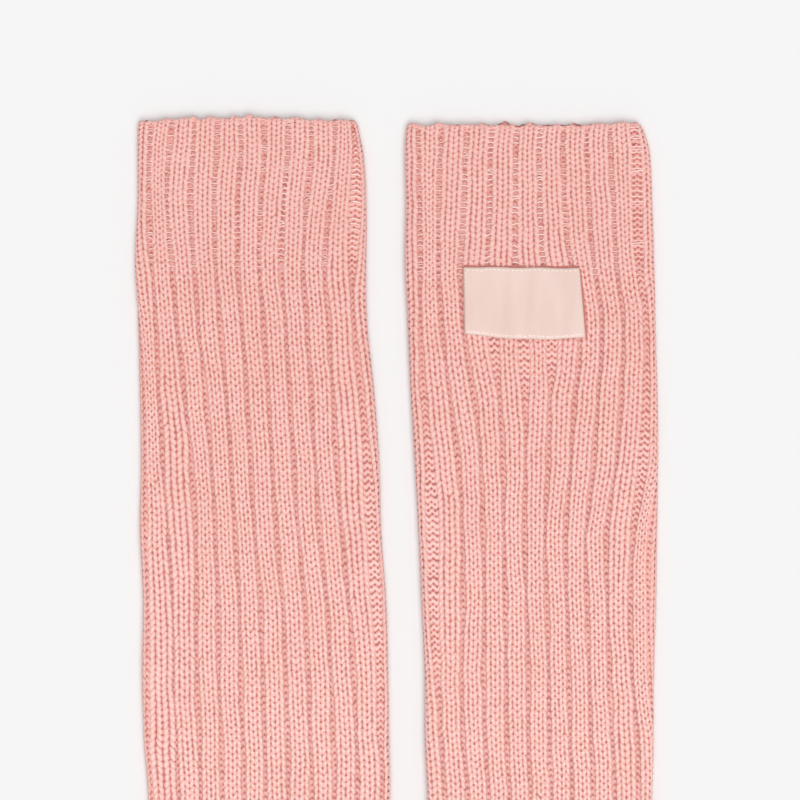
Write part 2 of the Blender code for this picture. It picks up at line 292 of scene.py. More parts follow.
# Label
LABEL_SIZE = (59.0, 34.0)
LABEL_TOP_LEFT = (33.5, 77.0)
LABEL_TOP_RIGHT = (91.5, 77.5)
LABEL_BOTTOM_LEFT = (34.0, 110.3)
LABEL_BOTTOM_RIGHT = (94.5, 112.2)
LABEL_BOW = 1.9
LABEL_WAVE = 0.16
LABEL_WAVE_TURNS = (17.0, 2.0)
LABEL_CLEARANCE = 0.3
LABEL_THICKNESS = 0.9
LABEL_TOP = LABEL_CLEARANCE + LABEL_THICKNESS
LABEL_GRID = (72, 44)
RIPPLE_HEIGHT = 0.208
RIPPLES, RIPPLE_PHASE, RIPPLE_SLANT = 5.2, 0.6, 0.5
RIPPLE_MIDDLE, RIPPLE_REACH = 0.6, 0.9
TURNED_DROP, TURNED_WIDTH = 0.35, 0.6  # its rounded edge
GROOVE_DEPTH, GROOVE_IN, GROOVE_WIDTH = 0.14, 1.3, 0.4  # where the sewing pulls it in
SEWING = (  # from, to, how many stitches, how far each slants, its radius
    ((0.02, 0.040), (0.98, 0.040), 25, 0.00, 0.32),
    ((0.02, 0.955), (0.98, 0.955), 25, 0.00, 0.28),
    ((0.02, 0.935), (0.98, 0.935), 40, 0.05, 0.20),
    ((0.018, 0.06), (0.018, 0.93), 13, 0.00, 0.22),
    ((0.982, 0.06), (0.982, 0.93), 13, 0.00, 0.22),
)
SEWN_FROM, SEWN_TO = 0.12, 0.78  # the share of its step that a stitch takes
SEWING_JITTER = np.array([0.002, 0.004])
SEWING_HEIGHT, SEWING_TOP = 0.3, 0.16
SEWING_SHAPE = ((0, 0, 0.2), (0.2, 0.9, 0.05), (0.5, 1, 0), (0.8, 0.9, 0.05), (1, 0, 0.2))
# The painted shadow along the label's upper and right edges: the step between its dots, how far outside the
# edge they lie, how dark they are
EDGE_SHADOW_STEP = 0.60
EDGE_SHADOW_RISE = 0.40
EDGE_SHADOW_DARK = 1.3

# Colours, linear
YARN = (1.0, 0.760, 0.712)
BAND_YARN = (0.985, 0.690, 0.640)
# Painted shade on the yarn's sides, seams and tips, also mottled into the cloth behind it
YARN_SHADE = (0.890, 0.336, 0.281)
# Painted shadow at the middles of the holes between the stitches
YARN_HOLE_SHADE = (0.52, 0.112, 0.090)
YARN_PALE = (1.0, 0.85, 0.81)
YARN_PATCH = (0.88, 0.40, 0.34)
YARN_GRAIN = (0.84, 0.38, 0.32)
# Painted shade: the cloth behind the yarn, coloured darker as the shade in the crevices between the stitches
SHADED_SHELL = (0.78, 0.246, 0.202)
TOP_SHADE = (0.940, 0.875, 0.873)  # painted shade, as a painted falloff of the light: multiplies the cloth's colours at its top, and less further down
FULL_SHADE_ABOVE, NO_SHADE_BELOW = 203.5, -41.5
ELASTIC = (1.0, 0.64, 0.58)
PALE_ELASTIC = (1.0, 0.93, 0.89)
SATIN = (0.805, 0.603, 0.538)
SATIN_SHADE = (0.755, 0.545, 0.480)
THREAD = (1.0, 0.86, 0.80)

# How surfaces take the light, by the shader's own inputs
YARN_SURFACE = {
    "Roughness": 0.92,
    "Specular IOR Level": 0.2,
    "Sheen Weight": 0.25,
    "Sheen Roughness": 0.5,
    "Sheen Tint": (1.0, 0.82, 0.78, 1.0),
}
SHELL_SURFACE = {"Roughness": 0.95, "Specular IOR Level": 0.1}
ELASTIC_SURFACE = {"Roughness": 0.6, "Specular IOR Level": 0.1}
THREAD_SURFACE = {"Roughness": 0.55, "Specular IOR Level": 0.1}
SATIN_SURFACE = {"Roughness": 0.42, "Sheen Weight": 0.15}
FLOOR_SURFACE = {"Base Color": (0.86, 0.86, 0.86, 1.0), "Roughness": 1.0, "Specular IOR Level": 0.0}

# Spans of the yarn's own values that lead from one colour to the next, and how strongly a tint shows at most
LIT_SPAN, HOLE_SHADE_SPAN = (0.0, 0.95), (-1.0, 0.2)
TINT_SPAN, TINT_MOST = (-2.5, 2.5), 0.14
BAND_SPAN, BAND_MOST = (-3.5, -8.0), 0.5

# Noise in the colours: scale, detail, stretch, the span that shows, how strongly at most
PATCHES = 45.0, 2.0, None, (0.4, 0.65), 0.12
GRAIN = 1300.0, 3.0, None, (0.40, 0.62), 0.26
MOTTLE = 700.0, 3.0, None, (0.35, 0.65), 1.0
SATIN_SHADING = 110.0, 2.0, (1.0, 0.25, 1.0), (0.35, 0.7), 0.9

# Noise and weave in relief: scale, detail or distortion; then strength and height
NAP, NAP_BUMP = (2600.0, 4.0), (0.5, 0.00025)
ROUGH, ROUGH_BUMP = (1200.0, 3.0), (0.6, 0.0005)
WEAVE_SCALE, WEAVE_DISTORTION, WEAVE_BUMP = 900.0, 0.6, (0.15, 0.0001)

# The photograph's view: straight down, 400 mm wide, centred this far along from the pair's middle
VIEW_WIDTH = 400.0
VIEW_CENTRE = (1.75, 128.5)
CAMERA_HEIGHT = 1200.0
SENSOR = 36.0

# Light: the sky, and two suns, each with its strength, its width and its turns about x and y in degrees
SKY = 0.42
SUNS = (("key", 1.15, 40, (25, 9)), ("overhead", 1.02, 60, (3, 2)))
FLOOR_WIDTH = 6000.0
FLOOR_DROP = 0.2

rng = np.random.default_rng(7)


def jitter(amount, shape):
    """Small random differences, most of them within this amount."""
    return amount * rng.standard_normal(shape)


def mixed(low, high, share):
    """The value at this share of the way from low to high."""
    return low + (high - low) * share


def every(*axes):
    """Every combination of some values, as one flat array for each axis."""
    return (grid.ravel() for grid in np.meshgrid(*axes, indexing="ij"))


def in_rows(rows, lines, *axes):
    """Every stitch on some ribs or gaps: which one, its row's down and height, and its other places."""
    downs, pitches = rows
    line, row, *others = every(lines, np.arange(len(downs)), *axes)
    return line, downs[row], pitches[row], *others


def bump(offset, reach):
    """A smooth rise from 0 to 1 and back, over one reach on each side of the middle."""
    return np.where(np.abs(offset) < reach, 0.5 + 0.5 * np.cos(np.pi * offset / reach), 0.0)


def wander(seed, *places):
    """Smooth noise from -1 to 1 over places, each given in its own wavelengths."""
    waves = np.random.default_rng(seed)
    total = 0.0
    for octave in OCTAVES:
        angle = waves.uniform(0, 2 * np.pi)
        for place in places:
            angle = angle + 2 * np.pi * octave * waves.uniform(*OCTAVE_SPREAD) * place
        total = total + np.sin(angle) / octave
    return total / OCTAVE_SUM


class Tube:
    """One leg warmer's cloth: where its ribs and gaps run, and where a point of the cloth lies."""

    def __init__(self, side, table, openings, pull, top_edge, seed):
        table = np.array(table)
        self.top_edge = np.array(top_edge)
        self.side = side
        self.seed = seed
        self.top, self.bottom = table[0, 0], table[-1, 0]
        self.downs = np.arange(self.top, self.bottom + 1.0)
        columns = self.smooth(table, self.downs)
        self.left, self.right = columns[0], columns[-1]
        front = self.front_length(self.left, self.right)
        known = columns[1:-1]
        label_share = bump(self.downs - LABEL_PULL_MIDDLE, LABEL_PULL_REACH)
        gaps = []
        for gap in range(LAST_FRONT_GAP + 1):
            after = next(i for i, known_gap in enumerate(KNOWN_GAPS) if known_gap >= max(gap, 1))
            share = (gap - KNOWN_GAPS[after - 1]) / (KNOWN_GAPS[after] - KNOWN_GAPS[after - 1])
            x = mixed(known[after - 1], known[after], share)
            gaps.append(self.along(x + pull.get(gap, 0.0) * label_share))
        under = RIBS - LAST_FRONT_GAP
        last, first = gaps[-1], gaps[0] + 2 * front
        gaps += [mixed(last, first, step / under) for step in range(1, under + 1)]
        self.gaps = np.array(gaps)
        half = np.full_like(self.gaps, GAP_WIDTH / 2)
        for gap, middle, reach, extra in openings:
            half[gap] += extra / 2 * bump(self.downs - middle, reach)
        index = (np.arange(len(self.gaps)) % RIBS)[:, None]
        half += GAP_UNEVENNESS * self.uneven(GAP_WAVE, index, self.downs[None, :])
        self.half_gaps = half
        starts = self.gaps[:-1] + half[:-1]
        ends = self.gaps[1:] - half[1:]
        self.rib_middles = (starts + ends) / 2
        self.rib_halves = (ends - starts) / 2

    @staticmethod
    def smooth(table, downs):
        """Each column of a table at every distance down, on a smooth curve through its rows."""
        row = np.clip(np.searchsorted(table[:, 0], downs), 1, len(table) - 1)
        upper, lower = table[row - 1], table[row]
        before, after = table[np.maximum(row - 2, 0)], table[np.minimum(row + 1, len(table) - 1)]
        span = lower[:, :1] - upper[:, :1]
        share = (downs[:, None] - upper[:, :1]) / span
        leaving = (lower - before) / (lower[:, :1] - before[:, :1]) * span
        arriving = (after - upper) / (after[:, :1] - upper[:, :1]) * span
        curve = (
            upper
            + share * leaving
            + share ** 2 * (3 * (lower - upper) - 2 * leaving - arriving)
            + share ** 3 * (2 * (upper - lower) + leaving + arriving)
        )
        return curve[:, 1:].T

    @staticmethod
    def front_length(left, right):
        """The cloth's length over the front, from one fold's outermost line to the other."""
        return right - left - 2 * FOLD + 2 * FOLD_QUARTER

    def along(self, x):
        """How far round the cloth x is at each of the tube's downs."""
        from_left, from_right = x - self.left, self.right - x
        left_fold, right_fold = (
            np.where(
                inward < 0, inward, FOLD_QUARTER * np.arccos(1 - np.clip(inward / FOLD, 0, 1)) / (np.pi / 2)
            )
            for inward in (from_left, from_right)
        )
        place = np.where(from_left < FOLD, left_fold, FOLD_QUARTER + from_left - FOLD)
        return np.where(from_right < FOLD, self.front_length(self.left, self.right) - right_fold, place)

    def at(self, rows, index, down):
        """Values of a table of lines, such as the gaps' places, for each pair of line index and down."""
        step = np.clip(down - self.top, 0, len(self.downs) - LAST_STEP)
        low = step.astype(int)
        return mixed(rows[index, low], rows[index, low + 1], step - low)

    def surface(self, down, distance, inset):
        """The points of the cloth this far down, this far round it and this far in from its crests."""
        left = np.interp(down, self.downs, self.left)
        right = np.interp(down, self.downs, self.right)
        front = self.front_length(left, right)
        distance = np.mod(distance, 2 * front)
        under = distance > front
        run = np.where(under, 2 * front - distance, distance)
        turn = np.minimum(np.minimum(run, front - run), FOLD_QUARTER) / FOLD_QUARTER * np.pi / 2
        reach = (FOLD - inset) * np.cos(turn)
        x = left + FOLD + run - FOLD_QUARTER
        x = np.where(run < FOLD_QUARTER, left + FOLD - reach, x)
        x = np.where(front - run < FOLD_QUARTER, right - FOLD + reach, x)
        rise = (HEIGHT / 2 - inset) * np.sin(turn)
        z = HEIGHT / 2 + np.where(under, -rise, rise)
        places, *dips = self.top_edge.T
        front_dip, under_dip = (np.interp(x, places, values) for values in dips)
        dip = mixed(under_dip, front_dip, np.clip(z / HEIGHT, 0, 1))
        dip = dip * (1 - np.clip((down - self.top) / EDGE_REACH, 0, 1)) ** 2
        lump = LUMP_HEIGHT * (1 + self.uneven(LUMP_WAVE, x, z))
        dip = dip + lump * self.edge(down) * np.where(down < (self.top + self.bottom) / 2, 1, -1)
        return np.stack([x, OVERALL_LENGTH / 2 - down - dip, z], axis=-1)

    def laid(self, down, distance, inset):
        """The points of yarn that thins towards the rims and keeps within the cloth."""
        inset = np.minimum(inset + self.rim(down), WALL - INSIDE_MARGIN)
        return self.surface(self.inside(down), distance, inset)

    def across_rib(self, rib, down, place):
        """How far round the cloth a place from -1 to 1 across a rib's yarn is."""
        half = self.at(self.rib_halves, rib, down) + RIB_SPREAD
        return self.at(self.rib_middles, rib, down) + place * half

    def inside(self, down):
        """Distances down that keep inside the rims."""
        return np.clip(down, self.top + EDGE_MARGIN, self.bottom - EDGE_MARGIN)

    def uneven(self, wave, rib, down, wale=0):
        """One of the slow waves, from -1 to 1, at these ribs, downs and wales."""
        number, ribs, step, length = wave
        return wander(self.seed + number, rib / ribs + step * wale, down / length)

    def row_shift(self, rib, down):
        """How far the rows of stitches on a rib have slipped down from their even places."""
        return ROW_SLIP * self.uneven(ROW_WAVE, rib, down)

    def edge(self, down):
        """1 at the tube's two rims, falling to 0 over one reach from them."""
        return 1 - np.clip(np.minimum(down - self.top, self.bottom - down) / RIM_REACH, 0, 1)

    def rim(self, down):
        """How much the cloth thins towards its two rims."""
        return RIM_THINNING * self.edge(down) ** 2

    def past_band(self, down):
        """0 in the band and 1 in the leg, with a slope between them."""
        return np.clip((down - self.top - BAND_LENGTH) / BAND_FADE + 0.5, 0, 1)

    def rows(self):
        """The rows of stitches, each as how far down it is and its height."""
        downs, pitches = [], []
        down = self.top + FIRST_ROW * BAND_ROW
        while down < self.bottom - LAST_ROW * LEG_ROW:
            pitch = mixed(BAND_ROW, LEG_ROW, self.past_band(down))
            downs.append(down)
            pitches.append(pitch)
            down += pitch
        return np.array(downs), np.array(pitches)


def leaf_triangles(rings, across):
    """The triangles of a leaf-shaped bit of yarn: a point, rings of points, and a point."""
    last = 1 + rings * across
    triangles = []
    for a in range(across - 1):
        triangles.append((0, 2 + a, 1 + a))
        for ring in range(rings - 1):
            upper, lower = 1 + ring * across + a, 1 + (ring + 1) * across + a
            triangles += [(lower, upper, upper + 1), (lower, upper + 1, lower + 1)]
        triangles.append((last, last - across + a, last - across + a + 1))
    return np.array(triangles)


def ribbon_triangles(stations, across):
    """The triangles of a strip: stations from left to right, each with points down across it."""
    triangles = []
    for station in range(stations - 1):
        for a in range(across - 1):
            here, there = station * across + a, (station + 1) * across + a
            triangles += [(here + 1, there + 1, there), (here + 1, there, here)]
    return np.array(triangles)


def leaves(start, end, radius, height, top, shape, across=LEG_POINTS):
    """Leaf-shaped bits of yarn, from start to end, each a (distance, down) place on the cloth.

    Gives each point's down, distance, inset and painted light level, as arrays of one row for each leaf.
    """
    axis = end - start
    normal = np.stack([-axis[:, 1], axis[:, 0]], axis=1) / np.linalg.norm(axis, axis=1)[:, None]
    normal *= np.sign(normal[:, :1] + TINY)
    places, insets, lits = [], [], []
    for share, wide, deep in shape:
        centre = start + share * axis
        crest = mixed(TIP_LIT, 1, min(1.0, wide ** 2))
        for angle in ARC_ANGLES[across] if wide else (np.pi / 2,):
            side, up = math.cos(angle), math.sin(angle)
            places.append(centre + normal * (radius * wide * side)[:, None])
            insets.append(top + deep + height * (1 - up))
            lits.append(np.full(len(start), mixed(SEAM, 1, crest * up ** CREST_SHARPNESS)))
    places = np.stack(places, axis=1)
    return places[..., 1], places[..., 0], np.stack(insets, axis=1), np.stack(lits, axis=1)


def split_quads(a, b, c, d):
    """The two triangles of each quad a b c d."""
    return np.concatenate([np.stack([a, b, c], axis=-1), np.stack([a, c, d], axis=-1)]).reshape(-1, 3)


def add_mesh(name, points, triangles, material, slot=None, **attributes):
    """An object in metres from points in millimetres, with smooth faces and named values at its points."""
    mesh = bpy.data.meshes.new(name)
    mesh.from_pydata((points.reshape(-1, 3) * MM).tolist(), [], triangles.tolist())
    for label, values in attributes.items():
        layer = mesh.attributes.new(label, "FLOAT", "POINT")
        layer.data.foreach_set("value", np.ascontiguousarray(values, dtype=np.float32).ravel())
    mesh.materials.append(material)
    mesh.shade_smooth()
    thing = bpy.data.objects.new(name, mesh)
    bpy.context.scene.collection.objects.link(thing)
    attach(thing, "root")
    return thing


def add_bits(name, points, triangles, material, slot="rib_knit", tints=None, **attributes):
    """One mesh of many equal bits, from one row of points and one tint for each."""
    count, each = points.shape[:2]
    triangles = (triangles[None] + each * np.arange(count)[:, None, None]).reshape(-1, 3)
    if tints is not None:
        attributes["tint"] = np.repeat(tints, each)
    return add_mesh(name, points, triangles, material, slot, **attributes)


def rib_profile(across):
    """How deep the yarn's crest lies at a place across a rib, from -1 to 1."""
    return RIB_ROUNDING * np.abs(across) ** 4


def knit_legs(tube, name, ribs, rows, shape, across, material):
    """The legs of the knit stitches on some ribs, as one mesh."""
    rib, start, pitch, wale, side = in_rows(rows, ribs, (-1, 1), (-1, 1))
    count = len(rib)
    line = start + tube.row_shift(rib, start)
    line += pitch * (LINE_WANDER * tube.uneven(LINE_WAVE, rib, start, wale) + jitter(LINE_JITTER, count))
    lean = LEG_LEAN * (1 + LEAN_WANDER * tube.uneven(LEAN_WAVE, rib, start))
    lean += TWIST_WANDER * side * tube.uneven(TWIST_WAVE, rib, start, wale)
    shift = SHIFT_WANDER * tube.uneven(SHIFT_WAVE, rib, start)
    ends = []
    for rise, sign in ((-LEG_RISE, -1), (LEG_FALL, 1)):
        down = line + rise * pitch
        place = 0.5 * wale + 0.5 * side * (LEG_MIDDLE + sign * lean) + shift
        distance = tube.across_rib(rib, down, place) + jitter(PLACE_JITTER, count)
        ends.append(np.stack([distance, down], axis=1))
    middle = 0.5 * wale + 0.5 * side * LEG_MIDDLE
    width = tube.at(tube.rib_halves, rib, line)
    radius = LEG_RADIUS * mixed(LEG_THINNING, 1, width / FULL_RIB) * (1 + jitter(RADIUS_JITTER, count))
    top = rib_profile(middle) + np.abs(jitter(TOP_JITTER, count))
    down, distance, inset, lit = leaves(*ends, radius, np.full(count, LEG_HEIGHT), top, shape, across)
    triangles = leaf_triangles(len(shape) - 2, across)
    tints = jitter(1.0, count) + BAND_TINT * (start < tube.top + BAND_LENGTH)
    return add_bits(name, tube.laid(down, distance, inset), triangles, material, tints=tints, lit=lit)


def stitch_hole_shade(tube, name, ribs, rows, material):
    """Painted shade in the small holes under each stitch's top, and between neighbouring stitches, as one mesh
    of dark dots.
    """
    rib, start, pitch, column = in_rows(rows, ribs, (-1, 0, 1))
    count = len(rib)
    between = column == 0
    line = start + tube.row_shift(rib, start)
    line += pitch * (np.where(between, -HOLE_DOWN, HOLE_DOWN) + jitter(HOLE_LINE_JITTER, count))
    distance = tube.across_rib(rib, line, 0.5 * column) + jitter(HOLE_PLACE_JITTER, count)
    dark = np.clip(np.where(between, 1.0, WALE_HOLES) + jitter(DARK_JITTER, count), *HOLE_RANGE)
    dark *= 1 + DARK_WANDER * tube.uneven(HOLE_WAVE, rib, start, column)
    dark *= 1 - tube.edge(line)
    dark *= np.where(start < tube.top + BAND_LENGTH, BAND_HOLES, 1.0)
    return shade_dots(tube, name, distance, line, HOLE_DEPTH + rib_profile(0.5 * column), dark, material)


def shade_dots(tube, name, distance, line, depth, dark, material):
    """Painted shade: small dark dots, their middles sunk a little into the cloth, as one mesh."""
    radius = HOLE_RADIUS * mixed(PALEST_HOLE, 1, dark)[:, None]
    angles = np.linspace(0, 2 * np.pi, HOLE_CORNERS + 1)[:-1]
    beside = np.concatenate([[0.0], np.cos(angles)])
    below = np.concatenate([[0.0], np.sin(angles)])
    downs = np.maximum(line[:, None] - radius * below, tube.top + HOLE_MARGIN)
    distances = distance[:, None] + HOLE_NARROWING * radius * beside
    inset = depth[:, None] + tube.rim(downs)
    inset[:, 0] += HOLE_SINK
    lit = np.full(downs.shape, SEAM)
    lit[:, 0] = mixed(SEAM, HOLE_SHADE, dark)
    points = tube.surface(downs, distances, inset)
    fan = np.array([(0, 1 + step, 1 + (step + 1) % HOLE_CORNERS) for step in range(HOLE_CORNERS)])
    return add_bits(name, points, fan, material, tints=np.zeros(len(line)), lit=lit)


def strips(tube, name, middle, half, across, centre, depth, radius, drop, light, base, material):
    """Bits of yarn or thread that run across the gaps, each a strip three points wide, as one mesh."""
    count, stations = centre.shape
    side = np.array([-1, 0, 1])
    down = centre[..., None] + side * radius[:, None, None]
    distance = np.broadcast_to((middle[:, None] + across * half[:, None])[..., None], down.shape)
    inset = depth[..., None] + drop * np.abs(side)
    lit = np.where(side, base, np.broadcast_to(light, centre.shape)[..., None])
    points = tube.laid(down, distance, inset).reshape(count, -1, 3)
    return add_bits(name, points, ribbon_triangles(stations, 3), material, tints=jitter(1.0, count), lit=lit)


def purl_bumps(tube, name, gaps, rows, stations, material):
    """The arcs of the purl stitches that show in the gaps, one across a gap in each row."""
    gap, line, pitch = in_rows(rows, gaps)
    half = tube.at(tube.half_gaps, gap, line)
    wide = np.clip((half - GAP_WIDTH / 2) / (WIDE_GAP - GAP_WIDTH / 2), 0, 1)
    line = line + tube.row_shift(gap - 0.5, line) + pitch * jitter(PURL_JITTER, len(gap))
    opened = wide > PURL_OPEN
    made = []
    for label, chosen, points in (("narrow", ~opened, stations), ("wide", opened, 2 * stations)):
        if chosen.any():
            picked = (values[chosen] for values in (gap, pitch, line, half, wide))
            made += purl_arcs(tube, f"{name}_{label}", *picked, points, material)
    return made


def purl_arcs(tube, name, gap, pitch, line, half, wide, stations, material):
    """Some purl stitches' arcs, and painted shade in the small holes under and beside them."""
    count = len(gap)
    across = np.linspace(-1, 1, stations)[None, :]
    phase = mixed(PURL_PHASE, PURL_PHASE_WIDE, wide) * tube.uneven(ARC_WAVE, gap, line)
    phase += jitter(PHASE_JITTER, count)
    waves = 1 + PURL_WAVES * wide
    wave = np.cos(np.pi * waves[:, None] * across + phase[:, None])
    arch = pitch * mixed(PURL_ARCH, PURL_ARCH_WIDE, wide) * rng.uniform(*ARCH_SPREAD, count)
    centre = line[:, None] - arch[:, None] * wave
    centre = centre + pitch[:, None] * jitter(TILT_JITTER, (count, 1)) * across
    at_fold = np.isin(gap, (0, LAST_FRONT_GAP))
    depth = mixed(PURL_DEEP, PURL_HIGH, np.maximum(np.maximum(wide, tube.edge(line)), at_fold))
    depth += jitter(DEPTH_JITTER, count)
    middle = tube.at(tube.gaps, gap, line)
    radius = PURL_RADIUS * pitch / LEG_ROW * (1 + jitter(THICKNESS_JITTER, count))
    light = mixed(PURL_LIGHT, PURL_LIGHT_WIDE, wide) * (1 - BAND_SHADE * (1 - tube.past_band(line)))
    arcs = strips(
        tube, name, middle, half + PURL_TUCK, across, centre, depth[:, None] + PURL_SAG * across ** 2, radius,
        PURL_DROP, light[:, None], PURL_BASE, material,
    )
    peak = np.clip(-phase / (np.pi * waves), -PEAK_REACH, PEAK_REACH)
    dark = np.clip(GAP_HOLE + jitter(GAP_HOLE_JITTER, count), *GAP_HOLE_RANGE) * (1 - tube.edge(line))
    deep = np.minimum(depth, GAP_HOLE_DEPTH)
    # Dark dots of painted shade in the holes under and beside the arcs
    holes = [(middle + peak * half, line - arch + 0.5 * pitch, deep, dark)]
    opened = wide > PURL_OPEN
    for side in (-1, 1):
        beside = np.clip(peak + side / waves, -SIDE_REACH, SIDE_REACH)
        found = (middle + beside * half, line + arch + 0.5 * pitch, deep, dark * wide ** 0.5)
        holes.append([values[opened] for values in found])
    holes = (np.concatenate(values) for values in zip(*holes))
    return [arcs, shade_dots(tube, f"{name}_holes", *holes, material)]


def elastic_threads(tube, name, pale_gaps, rows, material):
    """The fine pale elastic threads that run across the band's gaps."""
    in_band = rows[0] < tube.top + BAND_LENGTH + THREADS_PAST
    places = in_rows([values[in_band] for values in rows], np.arange(RIBS + 1), (0, 1))
    kept = rng.random(len(places[0])) < np.where(places[-1] == 0, *THREADS_IN_ROW)
    kept &= (places[0] != BOLD_GAP) | (tube.side != "left")
    gap, line, pitch, strand = (values[kept] for values in places)
    count = len(gap)
    line = line + pitch * (THREAD_DOWN + THREAD_STEP * strand + jitter(THREAD_JITTER, count))
    half = tube.at(tube.half_gaps, gap, line)
    across = np.linspace(-1, 1, THREAD_POINTS)[None, :]
    arch = pitch * rng.uniform(*THREAD_ARCH, count)
    arch *= np.where(rng.random(count) < THREADS_BENT_DOWN, 1, BENT_BACK)
    tilt = pitch * jitter(THREAD_TILT, count)
    centre = line[:, None] + arch[:, None] * across ** 2 + tilt[:, None] * across
    depth = THREAD_DEPTH + THREAD_SAG * rng.random((count, 1)) + THREAD_SAG * across ** 2
    middle = tube.at(tube.gaps, gap, line)
    level = np.array([pale_gaps.get(number, PALE_ELSEWHERE) for number in range(RIBS + 1)])
    pale = np.clip(level[gap] + jitter(PALE_JITTER, count), 0, 1)
    radius = ELASTIC_RADIUS * mixed(*PALE_RADIUS, pale)
    return strips(
        tube, name, middle, half * rng.uniform(*THREAD_REACH, count), across, centre, depth, radius,
        THREAD_DROP, pale[:, None], 0.0, material,
    )


def bold_threads(tube, name, rows, material):
    """The heavier hooked elastic in the gap that is pulled open, one thread a row."""
    chosen = (rows[0] > tube.top + BOLD_FROM) & (rows[0] < tube.top + BOLD_TO)
    chosen &= rng.random(len(chosen)) < BOLD_SHARE
    line, pitch = (values[chosen] for values in rows)
    count = len(line)
    line = line + pitch * jitter(BOLD_JITTER, count)
    fading = np.clip((line - tube.top - BOLD_FADE) / (BOLD_TO - BOLD_FADE), 0, 1)
    turn_from = -np.pi * rng.uniform(*BOLD_START, count)
    turn_to = np.pi * (rng.uniform(*BOLD_END, count) - BOLD_SHORTENING * fading)
    turn = mixed(turn_from[:, None], turn_to[:, None], np.linspace(0, 1, BOLD_POINTS)[None, :])
    lift = (pitch * rng.uniform(*BOLD_LIFT, count) * (1 - BOLD_LIFT_FADE * fading))[:, None]
    centre = line[:, None] - lift * (np.cos(turn) - BOLD_LEVEL) + BOLD_SLANT * pitch[:, None] * np.sin(turn)
    depth = THREAD_DEPTH + BOLD_DEPTH_SPREAD * rng.random((count, 1)) + BOLD_SAG * (1 - np.cos(turn))
    light = (1.0 - BOLD_LIGHT_FADE * fading)[:, None]
    gap = np.full(count, BOLD_GAP)
    half = tube.at(tube.half_gaps, gap, line)
    middle = tube.at(tube.gaps, gap, line)
    return strips(
        tube, name, middle, half - BOLD_TUCK, np.sin(turn), centre, depth, np.full(count, BOLD_RADIUS),
        BOLD_DROP, light, 0.0, material,
    )


def fuzz(tube, name, material):
    """Loose fibres, each one thin triangle that ends a little above the yarn."""
    down = rng.uniform(tube.top + 1, tube.bottom - 1, FUZZ_FIBRES)
    around = np.interp(down, tube.downs, tube.front_length(tube.left, tube.right))
    share = rng.random(FUZZ_FIBRES)
    at_side = rng.random(FUZZ_FIBRES) < FUZZ_AT_SIDES
    side = np.where(share < 0.5, FOLD * share, around - FOLD * (1 - share))
    distance = np.where(at_side, side, share * around)
    angle = rng.uniform(0, 2 * np.pi, FUZZ_FIBRES)
    length = rng.uniform(*FUZZ_LENGTH, FUZZ_FIBRES)
    rise = np.where(at_side, FUZZ_RISE_SIDES, FUZZ_RISE) * rng.random(FUZZ_FIBRES)
    beside, below = FUZZ_WIDTH / 2 * np.sin(angle), FUZZ_WIDTH / 2 * np.cos(angle)
    root = np.full(FUZZ_FIBRES, FUZZ_ROOT)
    distance = np.stack([distance - beside, distance + beside, distance + length * np.cos(angle)], axis=1)
    down = np.stack([down + below, down - below, down + length * np.sin(angle)], axis=1)
    inset = np.stack([root, root, -rise], axis=1)
    points = tube.surface(tube.inside(down), np.clip(distance, 0, around[:, None]), inset)
    return add_bits(name, points, np.arange(3)[None], material, lit=np.full(down.shape, FUZZ_PALENESS))


def rim_chain(tube, name, at_top, material):
    """The row of slanting stitches along a rim."""
    down = tube.top if at_top else tube.bottom
    into = 1.0 if at_top else -1.0
    around = 2 * tube.front_length(tube.left, tube.right)[0 if at_top else -1]
    spacing = around / RIM_STITCHES
    place = spacing * (np.arange(RIM_STITCHES) + jitter(RIM_PLACE_JITTER, RIM_STITCHES))
    wave = RIM_WAVE * np.cos(2 * np.pi * RIBS * place / around) + jitter(RIM_JITTER, RIM_STITCHES)
    start = np.stack([place - RIM_SLANT * spacing, down + into * (RIM_START + wave)], axis=1)
    end = np.stack([place + RIM_SLANT * spacing, down + into * (RIM_END + wave)], axis=1)
    points, lits = [], []
    for top, lift in RIM_LAYERS:
        sizes = (np.full(RIM_STITCHES, size) for size in (RIM_RADIUS, RIM_HEIGHT, top))
        downs, distance, inset, lit = leaves(start, end, *sizes, LEG_SHAPE)
        inset = np.minimum(inset, WALL - INSIDE_MARGIN / 2)
        points.append(tube.surface(downs + into * lift, distance, inset))
        lits.append(lit)
    points, lit = np.concatenate(points), RIM_LIGHT * np.concatenate(lits)
    triangles = leaf_triangles(len(LEG_SHAPE) - 2, LEG_POINTS)
    return add_bits(name, points, triangles, material, tints=jitter(1.0, len(points)), lit=lit)


def shell(tube, name, material):
    """The cloth behind the yarn: ribbed outside, plain inside, with a rim at each end."""
    downs = np.linspace(tube.top + SHELL_MARGIN, tube.bottom - SHELL_MARGIN, SHELL_SECTIONS)
    outer, depth = [], []
    for rib in range(RIBS):
        index = np.full(len(downs), rib)
        middle, half = tube.at(tube.rib_middles, index, downs), tube.at(tube.rib_halves, index, downs)
        outer.append(tube.at(tube.gaps, index, downs))
        depth.append(SHELL_VALLEY)
        for place in SHELL_PLACES:
            outer.append(middle + place * half)
            share = min(1.0, (1 - abs(place)) / SHELL_SLOPE)
            depth.append(mixed(SHELL_VALLEY, SHELL_CREST + rib_profile(place), share))
    distance = np.stack(outer, axis=1)
    inset = np.broadcast_to(np.array(depth), distance.shape)
    down = np.broadcast_to(downs[:, None], distance.shape)
    outside = tube.surface(down, distance, inset + tube.rim(down))
    inside = tube.surface(down, distance, np.full(distance.shape, WALL))
    loops = np.concatenate([outside, inside[::-1]])
    here = np.arange(loops.size // 3).reshape(loops.shape[:2])
    after = np.roll(here, -1, axis=0)
    triangles = split_quads(here, after, np.roll(after, -1, axis=1), np.roll(here, -1, axis=1))
    return add_mesh(name, loops, triangles, material, "rib_knit")


